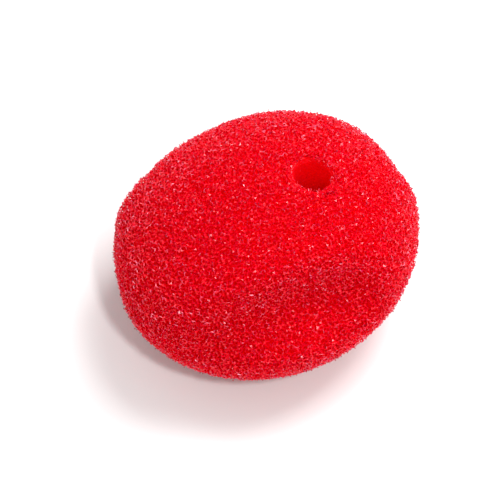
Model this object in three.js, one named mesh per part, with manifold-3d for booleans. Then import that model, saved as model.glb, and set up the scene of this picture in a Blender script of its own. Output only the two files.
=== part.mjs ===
// A clown nose: one ball of soft open-cell foam with a blind hole that grips the tip of the wearer's nose.
// The ball has its squeezed form, longer than it is high, with one trough across its front and another
// low across its back.
// Millimetres, +Z up. +X runs along the ball's longest way and the nose hole opens along +Z.
// The origin is on the surface that the ball rests on, under the middle of its outline.

import * as THREE from 'three';
import { mergeVertices } from 'three/addons/utils/BufferGeometryUtils.js';
import Module from 'manifold-3d';

// Squeezed ball, before its dents
const ballLength = 55.4;
const ballWidth = 48.8;
const ballHeight = 37.2;
const footDepth = 0.8;

// Nose hole
const holeDiameter = 6.2;
const holeDepth = 17;
const holeOffset = 9;
const lipRadius = 1.4;
const floorRadius = 1.2;

// Dents
const frontTroughWidth = 17;
const frontTroughDepth = 5.2;
const frontTroughLip = 5;
const backTroughWidth = 16;
const backTroughDepth = 3.6;
const backTroughLip = 4;
const shoulderWidth = 5;

// Faces round the ball, and rings along each stretch of its section
const segments = 74;
const outerRings = 40;
const lipRings = 4;
const wallRings = 5;
const floorRings = 3;

const foamColour = 0xe4040f;
const foamRoughness = 0.85;

const halfSize = new THREE.Vector3(ballLength, ballWidth, ballHeight).divideScalar(2);
const holeRadius = holeDiameter / 2;

// Each trough has the form of a round bar laid along a line of places on the ball, from the bar's round end
// to where it leaves the ball. A place is a direction from the ball's middle in shares of its half sizes,
// and sunk is how deep the bar lies there, in shares of the trough's depth. lip is how softly the foam
// turns over at the trough's edge.
const troughs = [
  {
    name: 'front_trough',
    width: frontTroughWidth,
    depth: frontTroughDepth,
    lip: frontTroughLip,
    line: [
      { x: 0.12, y: -0.90, z: 0.41, sunk: 0.9 },
      { x: -0.18, y: -0.86, z: 0.46, sunk: 1 },
      { x: -0.48, y: -0.78, z: 0.38, sunk: 0.8 },
      { x: -0.72, y: -0.66, z: 0.14, sunk: 0.1 },
    ],
  },
  {
    name: 'back_trough',
    width: backTroughWidth,
    depth: backTroughDepth,
    lip: backTroughLip,
    line: [
      { x: 0.30, y: 0.80, z: -0.52, sunk: 0.9 },
      { x: 0.08, y: 0.93, z: -0.30, sunk: 1 },
      { x: -0.22, y: 0.95, z: -0.08, sunk: 0.6 },
      { x: -0.48, y: 0.87, z: 0.08, sunk: 0.1 },
    ],
  },
];

// Low dips and bulges of the outline. Each is centred on a place of the ball, and height is outwards,
// in shares of the width of one shoulder, as spread is.
const shoulders = [
  { name: 'dip_past_front_trough', x: 0.98, y: 0.04, z: 0.20, spread: 1.3, height: -0.09 },
  { name: 'corner_past_front_trough', x: 0.97, y: -0.20, z: 0.12, spread: 1.5, height: 0.06 },
  { name: 'crown', x: 0.78, y: 0.52, z: 0.35, spread: 2.2, height: 0.07 },
  { name: 'flat_above_back_trough', x: 0.0, y: 0.935, z: 0.355, spread: 3.0, height: -0.12 },
  { name: 'bulge_beside_back_trough', x: -0.64, y: 0.74, z: 0.18, spread: 1.8, height: 0.17 },
  { name: 'dip_below_bulge', x: -0.96, y: 0.27, z: -0.08, spread: 1.6, height: -0.09 },
];

// A place on the ball's undented surface, from a direction in shares of its half sizes.
function onBall(direction) {
  return new THREE.Vector3(direction.x, direction.y, direction.z).normalize().multiply(halfSize);
}

// The undented ball's height over its middle at a plan position.
function topOfBall(x, y) {
  return halfSize.z * Math.sqrt(Math.max(0, 1 - (x / halfSize.x) ** 2 - (y / halfSize.y) ** 2));
}

function outwardsAt(surface) {
  return surface.clone().divide(halfSize).divide(halfSize).normalize();
}

// The middle line of each trough's bar, as far over the ball as leaves its underside at the depth given.
const courseSteps = 16;
for (const trough of troughs) {
  const places = trough.line.map((place) => {
    const surface = onBall(place);
    return surface.addScaledVector(outwardsAt(surface), trough.width / 2 - trough.depth * place.sunk);
  });
  trough.course = new THREE.CatmullRomCurve3(places).getPoints(courseSteps);
}

// How far a point lies outside the undented ball, below zero inside it: true near the surface.
function outsideBall(point) {
  const share = point.clone().divide(halfSize);
  const slope = share.clone().divide(halfSize).length();
  return share.length() * (share.length() - 1) / slope;
}

function outsideBar(trough, point) {
  const nearest = new THREE.Vector3();
  let distance = Infinity;
  for (let i = 1; i < trough.course.length; i++) {
    new THREE.Line3(trough.course[i - 1], trough.course[i]).closestPointToPoint(point, true, nearest);
    distance = Math.min(distance, nearest.distanceTo(point));
  }
  return distance - trough.width / 2;
}

function smoothMax(a, b, softness) {
  const near = Math.max(softness - Math.abs(a - b), 0) / softness;
  return Math.max(a, b) + softness * near * near / 4;
}

// How far the shoulders raise the surface at a place on the undented ball.
function raisedBy(undented) {
  let height = 0;
  for (const shoulder of shoulders) {
    const reach = undented.distanceTo(onBall(shoulder)) / (shoulder.spread * shoulderWidth);
    if (reach < 1) {
      height += shoulder.height * shoulderWidth * (1 + Math.cos(Math.PI * reach)) / 2;
    }
  }
  return height;
}

// The dented surface, on the line from the ball's middle through a place on the undented one.
const searchSteps = 24;
function dented(undented) {
  const raised = raisedBy(undented);
  const isInside = (point) => {
    const outside = (distance, trough) => smoothMax(distance, -outsideBar(trough, point), trough.lip);
    return troughs.reduce(outside, outsideBall(point) - raised) < 0;
  };
  let [near, far] = [0.4, 1.2];
  for (let i = 0; i < searchSteps; i++) {
    const middle = (near + far) / 2;
    [near, far] = isInside(undented.clone().multiplyScalar(middle)) ? [middle, far] : [near, middle];
  }
  return undented.clone().multiplyScalar(near);
}

// One line of the ball's surface, from the middle of the hole's floor up its wall, over its lip, and round
// the outside to the far side of the ball, at an angle round the hole.
function section(angle) {
  const holeTop = topOfBall(holeOffset, 0);
  const floorHeight = holeTop - holeDepth;
  const besideHole = (radius) => ({
    x: holeOffset + radius * Math.cos(angle),
    y: radius * Math.sin(angle),
  });
  const points = [];
  for (let i = 0; i <= floorRings; i++) {
    const turn = i / floorRings * Math.PI / 2;
    const { x, y } = besideHole(holeRadius - floorRadius * (1 - Math.sin(turn)));
    points.push(new THREE.Vector3(x, y, floorHeight + floorRadius * (1 - Math.cos(turn))));
  }
  const foot = besideHole(holeRadius);
  const wallFrom = floorHeight + floorRadius;
  const wallTo = topOfBall(foot.x, foot.y) - lipRadius;
  for (let i = 1; i < wallRings; i++) {
    points.push(new THREE.Vector3(foot.x, foot.y, THREE.MathUtils.lerp(wallFrom, wallTo, i / wallRings)));
  }
  for (let i = 0; i <= lipRings; i++) {
    const turn = i / lipRings * Math.PI / 2;
    const { x, y } = besideHole(holeRadius + lipRadius * (1 - Math.cos(turn)));
    points.push(new THREE.Vector3(x, y, topOfBall(x, y) - lipRadius * (1 - Math.sin(turn))));
  }
  const mouth = points.at(-1).clone().divide(halfSize).normalize();
  const pole = new THREE.Vector3(holeOffset, 0, holeTop).divide(halfSize).normalize();
  const across = mouth.clone().addScaledVector(pole, -mouth.dot(pole)).normalize();
  const from = mouth.angleTo(pole);
  for (let i = 1; i < outerRings; i++) {
    const turn = THREE.MathUtils.lerp(from, Math.PI, i / outerRings);
    const direction = pole.clone().multiplyScalar(Math.cos(turn)).addScaledVector(across, Math.sin(turn));
    points.push(dented(onBall(direction)));
  }
  return points;
}

// The closed surface: sections side by side round the hole, closed at the hole's floor and at the far pole.
function ballGeometry() {
  const sections = [];
  for (let i = 0; i < segments; i++) {
    sections.push(section(i / segments * Math.PI * 2));
  }
  const rings = sections[0].length;
  const holeTop = topOfBall(holeOffset, 0);
  const floorMiddle = new THREE.Vector3(holeOffset, 0, holeTop - holeDepth);
  const farPole = dented(new THREE.Vector3(-holeOffset, 0, -holeTop));
  const vertices = [...sections.flat(), floorMiddle, farPole];
  const floorIndex = vertices.length - 2;
  const poleIndex = vertices.length - 1;
  const index = [];
  for (let i = 0; i < segments; i++) {
    const here = i * rings;
    const next = (i + 1) % segments * rings;
    index.push(floorIndex, here, next);
    for (let j = 0; j < rings - 1; j++) {
      index.push(here + j, here + j + 1, next + j);
      index.push(next + j, here + j + 1, next + j + 1);
    }
    index.push(here + rings - 1, poleIndex, next + rings - 1);
  }
  const geometry = new THREE.BufferGeometry().setFromPoints(vertices);
  geometry.setIndex(index);
  return geometry;
}

const wasm = await Module();
wasm.setup();

function toSolid(geometry) {
  const bare = geometry.clone();
  bare.deleteAttribute('normal');
  bare.deleteAttribute('uv');
  const merged = mergeVertices(bare);
  return new wasm.Manifold(new wasm.Mesh({
    numProp: 3,
    vertProperties: new Float32Array(merged.attributes.position.array),
    triVerts: new Uint32Array(merged.index.array),
  }));
}

function toGeometry(solid) {
  const mesh = solid.getMesh();
  const geometry = new THREE.BufferGeometry();
  geometry.setAttribute('position', new THREE.BufferAttribute(mesh.vertProperties, 3));
  geometry.setIndex(new THREE.BufferAttribute(mesh.triVerts, 1));
  return geometry;
}

// The underside is pressed flat, so the block under it takes away the foot's depth.
function belowFoot() {
  const block = new THREE.BoxGeometry(ballLength * 2, ballWidth * 2, ballHeight);
  return block.translate(0, 0, footDepth - ballHeight);
}

// Sets the ball's outline over the origin and its foot at zero.
function settle(geometry) {
  geometry.computeBoundingBox();
  const { min, max } = geometry.boundingBox;
  return geometry.translate(-(min.x + max.x) / 2, -(min.y + max.y) / 2, -min.z);
}

const ball = toSolid(ballGeometry()).subtract(toSolid(belowFoot()));

const foamBall = new THREE.Mesh(
  settle(toGeometry(ball)),
  new THREE.MeshStandardMaterial({ color: foamColour, roughness: foamRoughness, metalness: 0 }),
);
foamBall.name = 'foam_ball';

const clownNose = new THREE.Group();
clownNose.add(foamBall);

export default clownNose;
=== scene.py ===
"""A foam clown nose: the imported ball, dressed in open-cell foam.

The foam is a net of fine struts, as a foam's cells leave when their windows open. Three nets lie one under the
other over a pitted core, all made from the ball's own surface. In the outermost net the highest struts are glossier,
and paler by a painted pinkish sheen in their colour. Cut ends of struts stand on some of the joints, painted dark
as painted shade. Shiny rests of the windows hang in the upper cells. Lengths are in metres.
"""

import bmesh
import bpy
import numpy as np
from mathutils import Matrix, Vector
from mathutils.bvhtree import BVHTree


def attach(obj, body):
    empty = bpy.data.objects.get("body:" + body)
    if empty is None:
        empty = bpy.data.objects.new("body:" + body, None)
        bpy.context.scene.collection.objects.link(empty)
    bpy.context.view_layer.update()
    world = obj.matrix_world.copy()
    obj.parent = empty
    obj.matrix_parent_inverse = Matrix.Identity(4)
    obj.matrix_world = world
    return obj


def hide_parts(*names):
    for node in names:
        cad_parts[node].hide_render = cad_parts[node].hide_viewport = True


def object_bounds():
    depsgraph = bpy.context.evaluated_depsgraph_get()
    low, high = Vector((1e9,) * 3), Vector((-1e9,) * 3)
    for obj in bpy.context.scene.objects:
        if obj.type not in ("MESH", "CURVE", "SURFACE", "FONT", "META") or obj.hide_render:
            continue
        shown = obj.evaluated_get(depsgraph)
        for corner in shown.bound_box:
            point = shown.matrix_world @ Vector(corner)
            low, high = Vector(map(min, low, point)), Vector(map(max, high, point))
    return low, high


MM = 0.001
SAME_PLACE = 1e-7
TINY = 1e-12

# The nets, from the outermost in. Each lies depth under the surface, give or take uneven. The shares are of struts
# that are broken off, of joints with a post, of the highest joints with a cut end and of struts with a film
NETS = [
    {"cell": 0.78 * MM, "depth": 0.26 * MM, "uneven": 0.30 * MM, "broken": 0.25, "posts": 0.3, "tips": 0.2,
     "films": 0.64, "seed": 3, "parts": 3},
    {"cell": 0.90 * MM, "depth": 0.70 * MM, "uneven": 0.30 * MM, "broken": 0.15, "posts": 0.3, "tips": 0.0,
     "films": 0.10, "seed": 4, "parts": 2},
    {"cell": 1.05 * MM, "depth": 1.10 * MM, "uneven": 0.25 * MM, "broken": 0.05, "posts": 0.0, "tips": 0.0,
     "films": 0.0, "seed": 5, "parts": 1},
]
CORE = {"cell": 0.95 * MM, "depth": 1.35 * MM, "pit": 0.5 * MM, "seed": 6}

# A joint's level runs from -1, the outermost, to 1. The highest struts and joints lie under this level
HIGH = -0.5

# Struts: half their width, its spread from joint to joint, and how much their sides lean in
STRUT = 0.08 * MM
STRUT_SPREAD = (0.65, 1.5)
STRUT_LEAN = 0.4

# Posts lead down from the joints, and their feet stray by up to the sway, in millimetres
POST_LENGTH = 0.6 * MM
POST_SPREAD = (0.7, 1.2)
POST_SWAY = 0.2

# Cut ends: their length, its spread, the sway as a share of it, and their width in struts
TIP_LENGTH = 0.26 * MM
TIP_SPREAD = (0.5, 1)
TIP_SWAY = 0.3
TIP_WIDTH = 1.4

# Films: how much of the way to the cell's middle they reach, and how far their ends stray, in millimetres
FILM_REACH = (0.4, 0.9)
FILM_SWAY = 0.12

# The even mesh that gives the cells: edge limits and reach in cells, shares of the way that a point is eased
LONG_EDGE = 4 / 3
SHORT_EDGE = 4 / 5
EASE_ROUNDS = 4
EASE_SHARE = 0.8
SHUFFLE_REACH = 0.55
LAST_EASE_SHARE = 0.7

# Base colours, as stops of (position, colour) over noise. Red light spreads the furthest in the foam
INNER_RED = [(0.36, (0.78, 0.0004, 0.004)), (0.52, (0.92, 0.001, 0.008))]
OUTER_RED = [(0.36, (0.76, 0.0006, 0.010)), (0.52, (0.90, 0.002, 0.018))]
# The highest struts' stops are partly their own red and partly a painted sheen: the paler pink stands in for the
# white surroundings reflected at the rim
HIGH_RED_PAINTED_SHEEN = [(0.38, (0.80, 0.010, 0.045)), (0.62, (0.92, 0.080, 0.160))]
FILM_RED = [(0.4, (0.85, 0.001, 0.010)), (0.6, (0.92, 0.004, 0.020))]
# The cut ends' stops are painted shade: the dark purple stands in for struts seen from their unlit side
TIP_PAINTED_SHADE = [(0.4, (0.20, 0.002, 0.025)), (0.6, (0.50, 0.002, 0.015))]
CORE_RED = [(0.36, (0.90, 0.0005, 0.004)), (0.64, (0.96, 0.0008, 0.006))]
SCATTER = (1, 0.05, 0.08)

# The ball before its dents, and the nose hole in it
BALL_MIDDLE = np.array((0.005, 0.401, 17.8)) * MM
BALL_HALF = np.array((27.7, 24.4, 18.6)) * MM
HOLE_AXIS = (9.005 * MM, 0.401 * MM)
HOLE_MOUTH = 4.6 * MM
HOLE_FLOOR = 15 * MM

# The hole's wall is smoother than the outside: under its mouth the nets end, and the core comes up to the wall
NETS_END = (0.8 * MM, 1.5 * MM)
CORE_RISE = (0.9 * MM, 1.8 * MM)
WALL_SHARE = 0.1

# Camera, by the photograph
VIEW_AZIMUTH = -29.2
VIEW_ELEVATION = 60
VIEW_DISTANCE = 600 * MM
VIEW_NEAR, VIEW_FAR = 0.05, 10
FRAME_WIDTH = 87.7 * MM
BALL_PIXEL = (267.3, 244.8)
FRAME_PIXELS = 500
SENSOR_MM = 36

# A white studio: even light from all round, a broad lamp at the right and a small one in front for the glints
WORLD_STRENGTH = 0.61
LAMPS = [
    {"name": "key", "place": (0.30, 0.06, 0.62), "size": 0.35, "power": 4.0},
    {"name": "spark", "place": (-0.04, -0.30, 0.56), "size": 0.05, "power": 1.4},
]
FLOOR_HALF = 1.5
FLOOR_GREY = 0.9
FLOOR_ROUGHNESS = 0.9

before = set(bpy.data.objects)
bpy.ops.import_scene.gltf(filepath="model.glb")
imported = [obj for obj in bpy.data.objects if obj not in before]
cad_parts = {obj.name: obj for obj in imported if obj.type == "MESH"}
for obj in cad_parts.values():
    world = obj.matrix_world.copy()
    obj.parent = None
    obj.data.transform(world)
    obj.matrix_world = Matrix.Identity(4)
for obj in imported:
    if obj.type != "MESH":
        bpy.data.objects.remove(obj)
cad_low, cad_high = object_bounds()
body = "root"
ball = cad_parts["foam_ball"]


def view_axes(azimuth, elevation):
    """The picture's right, its up and the way to the camera, for a camera round the object."""
    a, e = np.radians(azimuth), np.radians(elevation)
    right = Vector((np.cos(a), np.sin(a), 0))
    back = Vector((np.sin(a) * np.cos(e), -np.cos(a) * np.cos(e), np.sin(e)))
    return right, back.cross(right), back


def add_camera():
    data = bpy.data.cameras.new("camera")
    camera = bpy.data.objects.new("camera", data)
    bpy.context.scene.collection.objects.link(camera)
    right, up, back = view_axes(VIEW_AZIMUTH, VIEW_ELEVATION)
    step = FRAME_WIDTH / FRAME_PIXELS
    aim = (cad_low + cad_high) / 2
    aim = aim - right * (BALL_PIXEL[0] - FRAME_PIXELS / 2) * step
    aim = aim + up * (BALL_PIXEL[1] - FRAME_PIXELS / 2) * step
    camera.location = aim + back * VIEW_DISTANCE
    camera.rotation_mode = "QUATERNION"
    camera.rotation_quaternion = (-back).to_track_quat("-Z", "Y")
    data.sensor_width = SENSOR_MM
    data.lens = SENSOR_MM * VIEW_DISTANCE / FRAME_WIDTH
    data.clip_start, data.clip_end = VIEW_NEAR, VIEW_FAR
    bpy.context.scene.camera = camera


def copy_bmesh(node):
    bm = bmesh.new()
    bm.from_mesh(node.data)
    bmesh.ops.remove_doubles(bm, verts=bm.verts, dist=SAME_PLACE)
    return bm


def even_start(bm, size):
    """A rough all-round mesh of the surface, with faces about as large as size."""
    data = bpy.data.meshes.new("start")
    bm.to_mesh(data)
    piece = bpy.data.objects.new("start", data)
    bpy.context.scene.collection.objects.link(piece)
    remesh = piece.modifiers.new("even", "REMESH")
    remesh.mode = "VOXEL"
    remesh.voxel_size = size
    evaluated = piece.evaluated_get(bpy.context.evaluated_depsgraph_get())
    start = bmesh.new()
    start.from_mesh(evaluated.to_mesh())
    evaluated.to_mesh_clear()
    bpy.data.objects.remove(piece)
    bpy.data.meshes.remove(data)
    bmesh.ops.triangulate(start, faces=start.faces)
    return start


def split_long(bm, length):
    long = [e for e in bm.edges if e.calc_length() > length]
    bmesh.ops.subdivide_edges(bm, edges=long, cuts=1)
    bmesh.ops.triangulate(bm, faces=[f for f in bm.faces if len(f.verts) > 3])


def join_short(bm, length):
    """Joins the ends of short edges, none of which shares a neighbour with another."""
    taken, joined = set(), {}
    short = [e for e in bm.edges if e.calc_length() < length]
    for edge in sorted(short, key=lambda e: e.calc_length()):
        a, b = edge.verts
        around_a = {e.other_vert(a) for e in a.link_edges}
        around_b = {e.other_vert(b) for e in b.link_edges}
        if len(around_a & around_b) != 2 or (around_a | around_b) & taken:
            continue
        taken |= around_a | around_b
        b.co = (a.co + b.co) / 2
        joined[a] = b
    bmesh.ops.weld_verts(bm, targetmap=joined)


def arrays_of(bm):
    bm.verts.ensure_lookup_table()
    bm.verts.index_update()
    places = np.array([v.co for v in bm.verts])
    corners = np.array([[v.index for v in f.verts] for f in bm.faces])
    return places, corners


def face_normals(places, corners):
    a, b, c = places[corners].transpose(1, 0, 2)
    return np.cross(b - a, c - a)


def unit(vectors):
    return vectors / np.maximum(np.linalg.norm(vectors, axis=1, keepdims=True), TINY)


def point_normals(places, corners):
    across, total = face_normals(places, corners), np.zeros_like(places)
    for corner in corners.T:
        np.add.at(total, corner, across)
    return unit(total)


def ease(bm, surface, share):
    """Moves each point towards its neighbours' middle, along the surface."""
    places, corners = arrays_of(bm)
    total, count = np.zeros_like(places), np.zeros(len(places))
    for i, j in ((0, 1), (1, 2), (2, 0)):
        np.add.at(total, corners[:, i], places[corners[:, j]])
        np.add.at(count, corners[:, i], 1)
    step = total / count[:, None] - places
    normals = point_normals(places, corners)
    step -= normals * (step * normals).sum(1, keepdims=True)
    for vertex, place in zip(bm.verts, places + step * share):
        vertex.co = surface.find_nearest(place)[0]


def shuffle(bm, surface, reach, rng):
    for vertex in bm.verts:
        vertex.co = surface.find_nearest(vertex.co + Vector(rng.uniform(-reach, reach, 3)))[0]


def flip_edges(bm):
    bmesh.ops.beautify_fill(bm, faces=bm.faces, edges=bm.edges, method="ANGLE")


def even_triangles(bm, surface, length):
    for _ in range(EASE_ROUNDS):
        split_long(bm, length * LONG_EDGE)
        join_short(bm, length * SHORT_EDGE)
        flip_edges(bm)
        ease(bm, surface, EASE_SHARE)


def cells(solid, surface, length, seed):
    """The middles of the foam's cells on the surface, as the corners of an even but random net of triangles."""
    rng = np.random.default_rng(seed)
    bm = even_start(solid, length)
    even_triangles(bm, surface, length)
    shuffle(bm, surface, length * SHUFFLE_REACH, rng)
    flip_edges(bm)
    ease(bm, surface, LAST_EASE_SHARE)
    flip_edges(bm)
    places, corners = arrays_of(bm)
    bm.free()
    return places, corners


def pairs_across(corners):
    """Each edge once: its two triangles and the corner numbers of its two ends in each."""
    count = len(corners)
    starts = corners.T.ravel()
    ends = np.roll(corners, -1, axis=1).T.ravel()
    face = np.tile(np.arange(count), 3)
    at = np.repeat(np.arange(3), count)
    key = starts.astype(np.int64) * (corners.max() + 1) + ends
    back = ends.astype(np.int64) * (corners.max() + 1) + starts
    order = np.argsort(key)
    found = order[np.searchsorted(key[order], back).clip(0, len(key) - 1)]
    assert (key[found] == back).all()
    once = starts < ends
    mate = found[once]
    f, a = face[once], at[once]
    g, b = face[mate], at[mate]
    return f, a, (a + 1) % 3, g, (b + 1) % 3, b


def in_hole(places, reach):
    """0 on the outside of the ball, 1 inside the hole, and between them within reach under the hole's mouth."""
    out = np.hypot(places[:, 0] - HOLE_AXIS[0], places[:, 1] - HOLE_AXIS[1])
    across = ((places - BALL_MIDDLE) / BALL_HALF)[:, :2]
    top = BALL_MIDDLE[2] + BALL_HALF[2] * np.sqrt((1 - (across ** 2).sum(1)).clip(min=0))
    share = ((top - places[:, 2] - reach[0]) / (reach[1] - reach[0])).clip(0, 1)
    return np.where((out < HOLE_MOUTH) & (places[:, 2] > HOLE_FLOOR), share * share * (3 - 2 * share), 0)


def cut_ends(middle, up, toward, thick, chosen, rng):
    """Four points for each cut end that stands on a chosen joint."""
    sway = rng.uniform(-TIP_SWAY, TIP_SWAY, middle.shape)
    ends = middle + (up * rng.uniform(*TIP_SPREAD, (len(middle), 1)) + sway) * TIP_LENGTH
    ends = ends[:, None] + toward[:, ::-1] * thick[:, None] * TIP_WIDTH
    return np.concatenate([ends, middle[:, None]], 1)[chosen]


def window_rests(p, q, up, heart, rng):
    """Four points for each film that hangs on a strut from p to q and points to its cell's middle."""
    halfway = (p + q) / 2
    tip = halfway + (heart - halfway) * rng.uniform(*FILM_REACH, (len(p), 1))
    tip += rng.uniform(-FILM_SWAY, FILM_SWAY, p.shape) * MM
    below = halfway - up * STRUT / 2
    return np.stack([q, p, below, tip], 1)


def net(places, corners, kind, rng):
    """Struts along the borders of the cells, with posts on a share of the joints.

    Returns their points, their faces and which of these are high, then the films and the cut ends as fours of points.
    """
    normals = point_normals(places, corners)
    middle = places[corners].mean(1)
    up = unit(normals[corners].mean(1))
    count = len(middle)
    there = rng.random(count) >= in_hole(middle, NETS_END)
    level = rng.uniform(-1, 1, count)
    middle -= up * (kind["depth"] + level[:, None] * kind["uneven"])
    toward = places[corners] - middle[:, None]
    toward -= up[:, None] * (toward * up[:, None]).sum(2, keepdims=True)
    toward /= np.linalg.norm(toward, axis=2, keepdims=True)
    thick = STRUT * rng.uniform(*STRUT_SPREAD, (count, 1))
    top = middle + up * thick
    sides = middle[:, None] + (toward - STRUT_LEAN * up[:, None]) * thick[:, None]
    points, faces = [top, sides.reshape(-1, 3)], []
    top_at = np.arange(count)
    side_at = count + np.arange(count * 3).reshape(-1, 3)

    f, fa, fb, g, ga, gb = pairs_across(corners)
    kept = (rng.random(len(f)) > kind["broken"]) & there[f] & there[g]
    u, a, b = top_at[f], side_at[f, fa], side_at[f, fb]
    v, c, d = top_at[g], side_at[g, ga], side_at[g, gb]
    quads = [np.stack(ring, 1)[kept] for ring in ((u, a, c, v), (u, v, d, b), (a, b, d, c))]
    faces += [np.stack((u, a, b), 1)[~kept & there[f]], np.stack((v, d, c), 1)[~kept & there[g]]]

    posted = np.flatnonzero(there & (rng.random(count) < kind["posts"]))
    bare = np.setdiff1d(np.flatnonzero(there), posted)
    drop = up * POST_LENGTH * rng.uniform(*POST_SPREAD, (count, 1))
    drop += rng.uniform(-POST_SWAY, POST_SWAY, middle.shape) * MM
    foot_at = count * 4 + np.arange(len(posted) * 3).reshape(-1, 3)
    points.append((sides - drop[:, None])[posted].reshape(-1, 3))
    levels = np.concatenate([level, np.repeat(level, 3), np.ones(len(posted) * 3)])
    for i in range(3):
        j = (i + 1) % 3
        ring = (side_at[posted, i], foot_at[:, i], foot_at[:, j], side_at[posted, j])
        quads.append(np.stack(ring, 1))
    faces += [foot_at[:, [0, 2, 1]], side_at[bare][:, [0, 2, 1]]]
    quads = np.concatenate(quads)
    faces = np.concatenate([*faces, quads[:, [0, 1, 2]], quads[:, [0, 2, 3]]])

    tipped = there & (level < HIGH) & (rng.random(count) < kind["tips"])
    tips = cut_ends(middle, up, toward, thick, tipped, rng)
    filmed = kept & (rng.random(len(f)) < kind["films"])
    f, g, cell = f[filmed], g[filmed], corners[f, fa][filmed]
    heart = places[cell] - normals[cell] * kind["depth"]
    films = window_rests(middle[f], middle[g], up[f], heart, rng)
    return np.concatenate(points), faces, levels[faces].mean(1) < HIGH, films, tips


def tetrahedra(fours):
    """Points and faces of one closed solid for each four points, the last over the first three."""
    at = np.arange(len(fours) * 4).reshape(-1, 4)
    faces = np.concatenate([at[:, ring] for ring in ([0, 1, 3], [1, 2, 3], [2, 0, 3], [0, 2, 1])])
    return fours.reshape(-1, 3), faces


def shallower(places):
    """The share of the core's depth that is left at each place: little of it in the hole."""
    return (1 - (1 - WALL_SHARE) * in_hole(places, CORE_RISE))[:, None]


def pitted(places, corners, depth, pit):
    """A closed skin with a pit in the middle of each cell."""
    normals = point_normals(places, corners)
    up = unit(normals[corners].mean(1))
    rims = places[corners].mean(1)
    rims -= up * (depth * shallower(rims))
    bottoms = places - normals * ((depth + pit) * shallower(places))
    f, fa, fb, g, _, _ = pairs_across(corners)
    count = len(rims)
    a, b = corners[f, fa] + count, corners[f, fb] + count
    faces = np.concatenate([np.stack((f, a, g), 1), np.stack((g, b, f), 1)])
    return np.concatenate([rims, bottoms]), faces


def add_piece(name, points, faces, material, replaced=None):
    points[:, 2] = points[:, 2].clip(min=0)
    data = bpy.data.meshes.new(name)
    data.from_pydata(points.tolist(), [], faces.tolist())
    data.materials.append(material)
    piece = bpy.data.objects.new(name, data)
    bpy.context.scene.collection.objects.link(piece)
    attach(piece, body)
    if replaced:
        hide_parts(replaced)


def add_part(name, points, faces, material):
    """A piece with some of the faces, and only the points that they use."""
    used, index = np.unique(faces, return_inverse=True)
    add_piece(name, points[used], index.reshape(-1, 3), material)


def add_ramp(tree, scale, detail, stops, target):
    """Noise in the object's own coordinates, through a ramp of (position, colour) stops, to a shader's socket."""
    coordinates = tree.nodes.new("ShaderNodeTexCoord")
    noise = tree.nodes.new("ShaderNodeTexNoise")
    noise.inputs["Scale"].default_value = scale
    noise.inputs["Detail"].default_value = detail
    ramp = tree.nodes.new("ShaderNodeValToRGB")
    for element, (position, colour) in zip(ramp.color_ramp.elements, stops):
        element.position = position
        element.color = (*colour, 1)
    tree.links.new(coordinates.outputs["Object"], noise.inputs["Vector"])
    tree.links.new(noise.outputs["Fac"], ramp.inputs["Fac"])
    tree.links.new(ramp.outputs["Color"], target)


def new_material(name, values):
    """A material with values on its shader's own sockets, its node tree and its shader."""
    material = bpy.data.materials.new(name)
    material.use_nodes = True
    shader = material.node_tree.nodes["Principled BSDF"]
    for socket, value in values.items():
        shader.inputs[socket].default_value = value
    return material, material.node_tree, shader


def foam_material(name, values, red, scale, detail):
    material, tree, shader = new_material(name, values)
    add_ramp(tree, scale, detail, red, shader.inputs["Base Color"])
    return material


def strut_material(name, gloss, sheen, red):
    """Red struts, with a pinkish bloom."""
    values = {
        "Roughness": 0.3, "Specular IOR Level": gloss, "Specular Tint": (1, 0.7, 0.85, 1),
        "Subsurface Weight": 1, "Subsurface Radius": SCATTER, "Subsurface Scale": 0.25 * MM,
        "Sheen Weight": sheen, "Sheen Roughness": 0.3, "Sheen Tint": (0.4, 0.05, 0.6, 1),
    }
    return foam_material(name, values, red, scale=1700, detail=1)


def film_material():
    """The shiny rests of the cells' windows."""
    values = {"Roughness": 0.22, "Specular IOR Level": 0.5, "Specular Tint": (1, 0.85, 0.95, 1)}
    return foam_material("film", values, FILM_RED, scale=900, detail=2)


def painted_shade_tip_material():
    """The cut ends are the darkest: painted shade, standing in for struts seen from their unlit side."""
    values = {"Roughness": 0.6, "Specular IOR Level": 0.1}
    return foam_material("tip", values, TIP_PAINTED_SHADE, scale=900, detail=2)


def core_material():
    """The deep of the foam: light spreads a long way in it."""
    values = {
        "Roughness": 0.8, "Specular IOR Level": 0.05,
        "Subsurface Weight": 1, "Subsurface Radius": SCATTER, "Subsurface Scale": 5 * MM,
    }
    return foam_material("core", values, CORE_RED, scale=300, detail=3)


def split_round(points, faces, parts):
    """The faces in equal groups by the way that they face round the middle."""
    middles = points[faces].mean(1) - points.mean(0)
    order = np.argsort(np.arctan2(middles[:, 1], middles[:, 0]))
    return np.array_split(order, parts)


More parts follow.
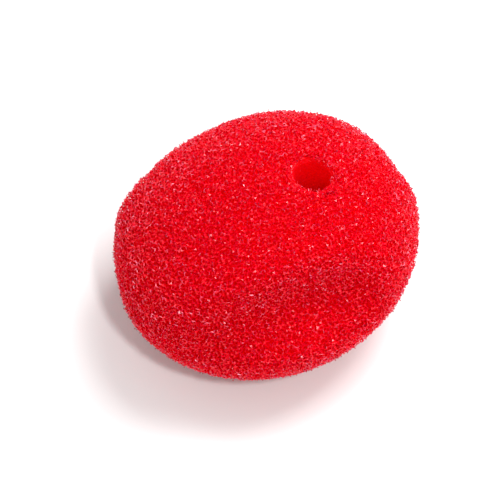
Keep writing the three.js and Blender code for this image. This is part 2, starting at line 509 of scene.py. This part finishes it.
def add_foam():
    # The highest struts are paler by a painted sheen in their base colour, besides their real gloss
    high = strut_material("high_strut_painted_sheen", gloss=1, sheen=0.15, red=HIGH_RED_PAINTED_SHEEN)
    outer = strut_material("outer_strut", gloss=0.31, sheen=0.20, red=OUTER_RED)
    inner = strut_material("inner_strut", gloss=0.1, sheen=0.02, red=INNER_RED)
    bm = copy_bmesh(ball)
    surface = BVHTree.FromBMesh(bm)
    films, tips = [], []
    for number, kind in enumerate(NETS, 1):
        places, corners = cells(bm, surface, kind["cell"], kind["seed"])
        points, faces, tops, net_films, net_tips = net(places, corners, kind, np.random.default_rng(kind["seed"]))
        films.append(net_films)
        tips.append(net_tips)
        if number == 1:
            add_part("struts_high", points, faces[tops], high)
            faces = faces[~tops]
        for part, chosen in enumerate(split_round(points, faces, kind["parts"]), 1):
            add_part(f"struts_{number}_{part}", points, faces[chosen], outer if number == 1 else inner)
    add_piece("window_films", *tetrahedra(np.concatenate(films)), film_material())
    # The cut ends are painted dark, as painted shade
    add_piece("joint_tips", *tetrahedra(np.concatenate(tips)), painted_shade_tip_material())
    places, corners = cells(bm, surface, CORE["cell"], CORE["seed"])
    points, faces = pitted(places, corners, CORE["depth"], CORE["pit"])
    add_piece("foam_core", points, faces, core_material(), "foam_ball")
    bm.free()


def add_floor():
    data = bpy.data.meshes.new("floor")
    half = FLOOR_HALF
    data.from_pydata([(-half, -half, 0), (half, -half, 0), (half, half, 0), (-half, half, 0)], [], [(0, 1, 2, 3)])
    floor = bpy.data.objects.new("floor", data)
    bpy.context.scene.collection.objects.link(floor)
    values = {"Base Color": (FLOOR_GREY, FLOOR_GREY, FLOOR_GREY, 1), "Roughness": FLOOR_ROUGHNESS}
    data.materials.append(new_material("floor", values)[0])


def add_lamp(name, place, size, power):
    data = bpy.data.lights.new(name, "AREA")
    data.size = size
    data.energy = power
    lamp = bpy.data.objects.new(name, data)
    bpy.context.scene.collection.objects.link(lamp)
    lamp.location = place
    lamp.rotation_mode = "QUATERNION"
    lamp.rotation_quaternion = (-Vector(place)).to_track_quat("-Z", "Y")


def add_light():
    world = bpy.data.worlds.new("studio")
    world.use_nodes = True
    world.node_tree.nodes["Background"].inputs["Color"].default_value = (1, 1, 1, 1)
    world.node_tree.nodes["Background"].inputs["Strength"].default_value = WORLD_STRENGTH
    bpy.context.scene.world = world
    bpy.context.scene.view_settings.view_transform = "Standard"
    for lamp in LAMPS:
        add_lamp(**lamp)


add_camera()
add_foam()
add_floor()
add_light()
